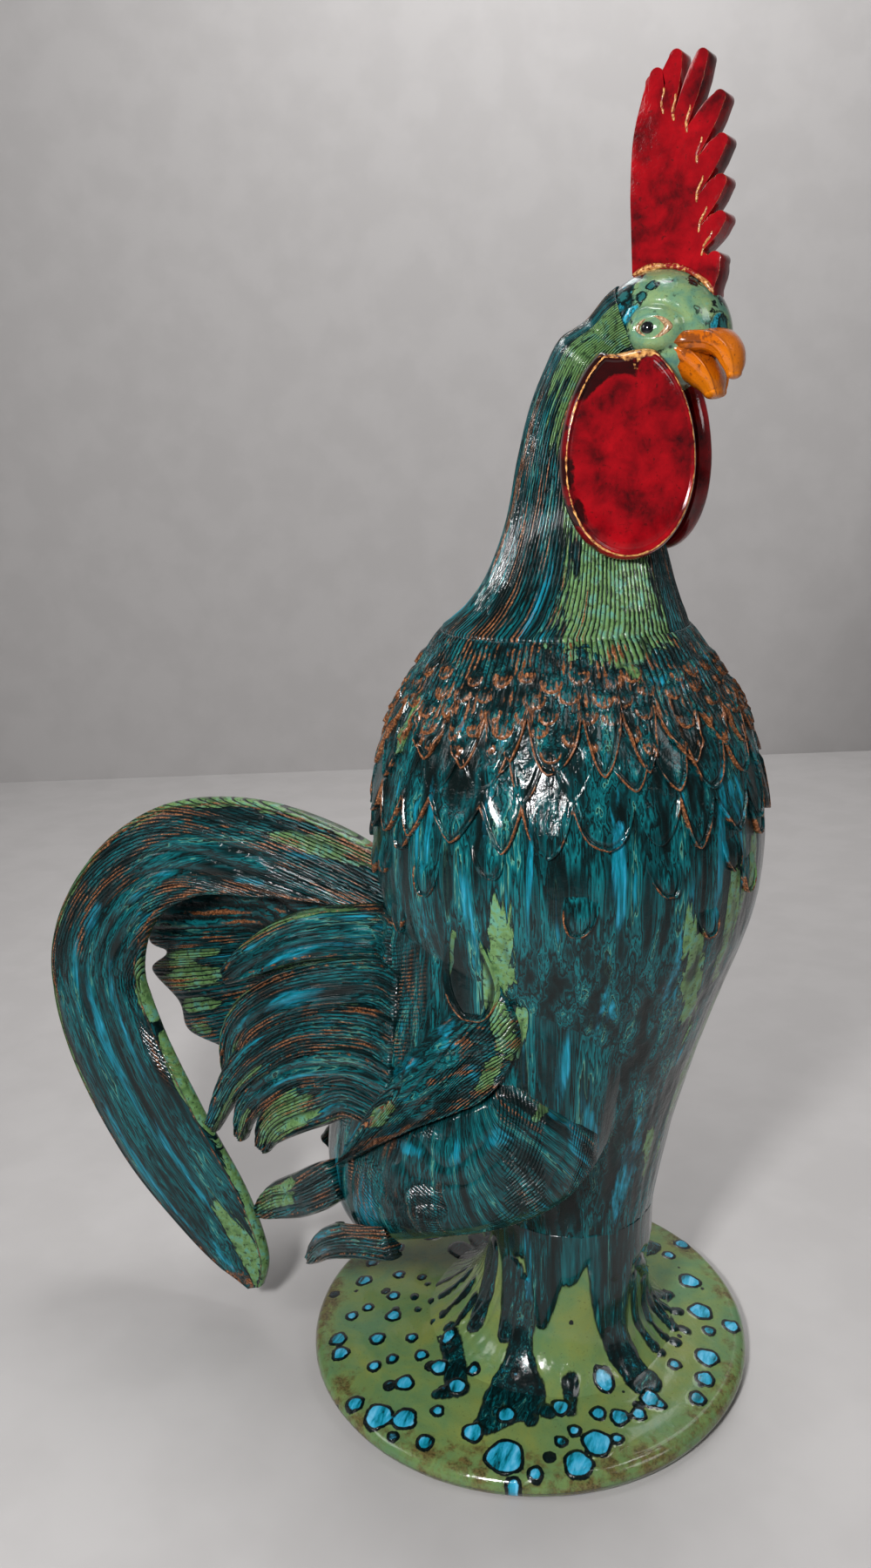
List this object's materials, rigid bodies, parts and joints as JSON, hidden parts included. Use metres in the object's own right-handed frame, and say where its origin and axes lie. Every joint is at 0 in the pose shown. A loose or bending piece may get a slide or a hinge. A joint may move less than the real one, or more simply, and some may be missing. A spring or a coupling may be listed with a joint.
{
  "type": "rooster sculpture",
  "caption": "Glazed ceramic rooster standing on a round domed plinth, with a serrated comb, hanging wattles, open beak, scalloped shoulders, folded wings and a sweeping tail.",
  "frame": {"origin": "centre of the round plinth's flat underside, on the surface it stands on", "axes": "+X the way the rooster's body faces, +Y its left side, +Z up; metres, right-handed, stored in the GLB as glTF Y-up (x, z, -y)"},
  "size_m": [0.3971, 0.234, 0.6205],
  "materials": {
    "plinth_glaze": "glossy olive green glaze, pooled and mottled",
    "column_glaze": "glossy dark teal glaze with drips",
    "body_glaze": "glossy dark teal glaze with turquoise runs",
    "neck_glaze": "combed grooves under green and teal glaze",
    "head_glaze": "light green glaze",
    "red_glaze": "mottled red glaze",
    "beak_glaze": "mottled orange glaze",
    "eye_glaze": "glossy black glaze",
    "eyelid_clay": "thin tan glaze",
    "wing_glaze": "combed teal glaze with copper brown ridges",
    "scale_glaze": "teal glaze with copper brown edges",
    "tail_glaze": "combed teal glaze with green rims",
    "covert_glaze": "combed green and turquoise glaze"
  },
  "bodies": {
    "root": {"plinth": "plinth_glaze", "leg_column": "column_glaze", "body": "body_glaze", "rump": "body_glaze", "neck": "neck_glaze", "head": "head_glaze", "comb": "red_glaze", "upper_beak": "beak_glaze", "lower_beak": "beak_glaze", "right_eye": "eye_glaze", "left_eye": "eye_glaze", "right_eyelid": "eyelid_clay", "left_eyelid": "eyelid_clay", "right_wattle": "red_glaze", "left_wattle": "red_glaze", "right_wing": "wing_glaze", "left_wing": "wing_glaze", "right_wing_panel": "wing_glaze", "left_wing_panel": "wing_glaze", "feather_course_1": "scale_glaze", "feather_course_2": "scale_glaze", "feather_course_3": "scale_glaze", "sickle_feather": "tail_glaze", "tail_fan": "tail_glaze", "right_covert_1": "covert_glaze", "right_covert_2": "covert_glaze", "right_covert_3": "covert_glaze", "right_covert_4": "covert_glaze", "right_covert_5": "covert_glaze", "left_covert_1": "covert_glaze", "left_covert_2": "covert_glaze", "left_covert_3": "covert_glaze", "left_covert_4": "covert_glaze", "left_covert_5": "covert_glaze", "right_thigh_feather": "covert_glaze", "left_thigh_feather": "covert_glaze", "right_vent_feather": "covert_glaze", "left_vent_feather": "covert_glaze"}
  },
  "joints": []
}
